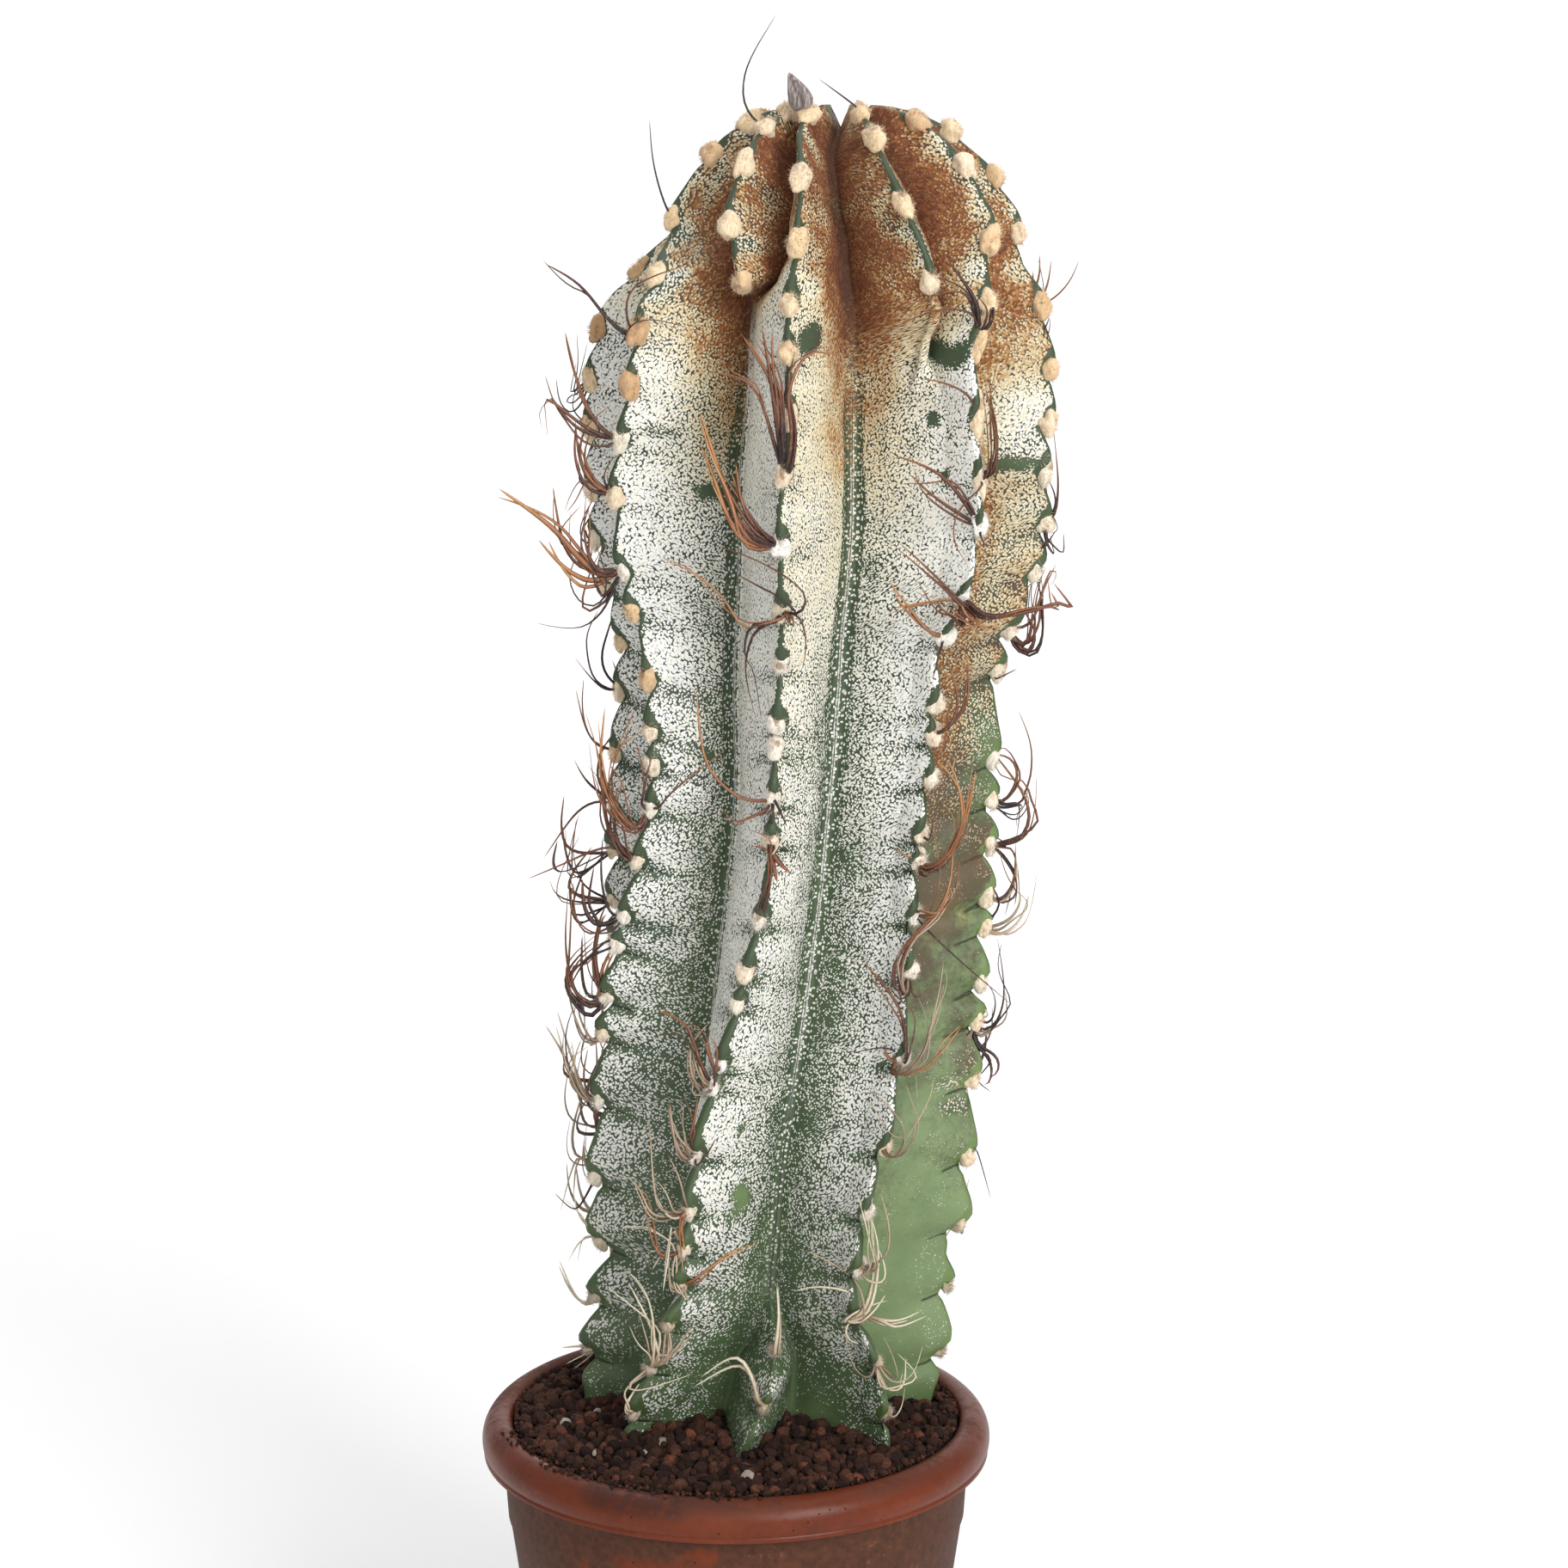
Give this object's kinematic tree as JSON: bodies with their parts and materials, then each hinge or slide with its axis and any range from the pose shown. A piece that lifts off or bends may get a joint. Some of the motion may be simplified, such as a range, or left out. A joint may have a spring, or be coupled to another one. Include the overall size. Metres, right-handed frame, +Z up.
{
  "type": "potted astrophytum",
  "caption": "Tall old star-ribbed column cactus with woolly areoles, curling papery spines and white flecks, in grit in a round terracotta-coloured pot.",
  "frame": {"origin": "centre of the pot's flat underside", "axes": "+Z up along the stem, -Y towards the viewer of the picture, +X to the viewer's right"},
  "size_m": [0.2134, 0.1982, 0.6368],
  "materials": {
    "stem": "matte, green under dense pale flecks",
    "soil": "dry dark red-brown grit",
    "pot": "satin terracotta colour, dusty below the rim"
  },
  "bodies": {
    "root": {"stem": "stem", "soil": "soil", "pot": "pot"}
  },
  "joints": []
}
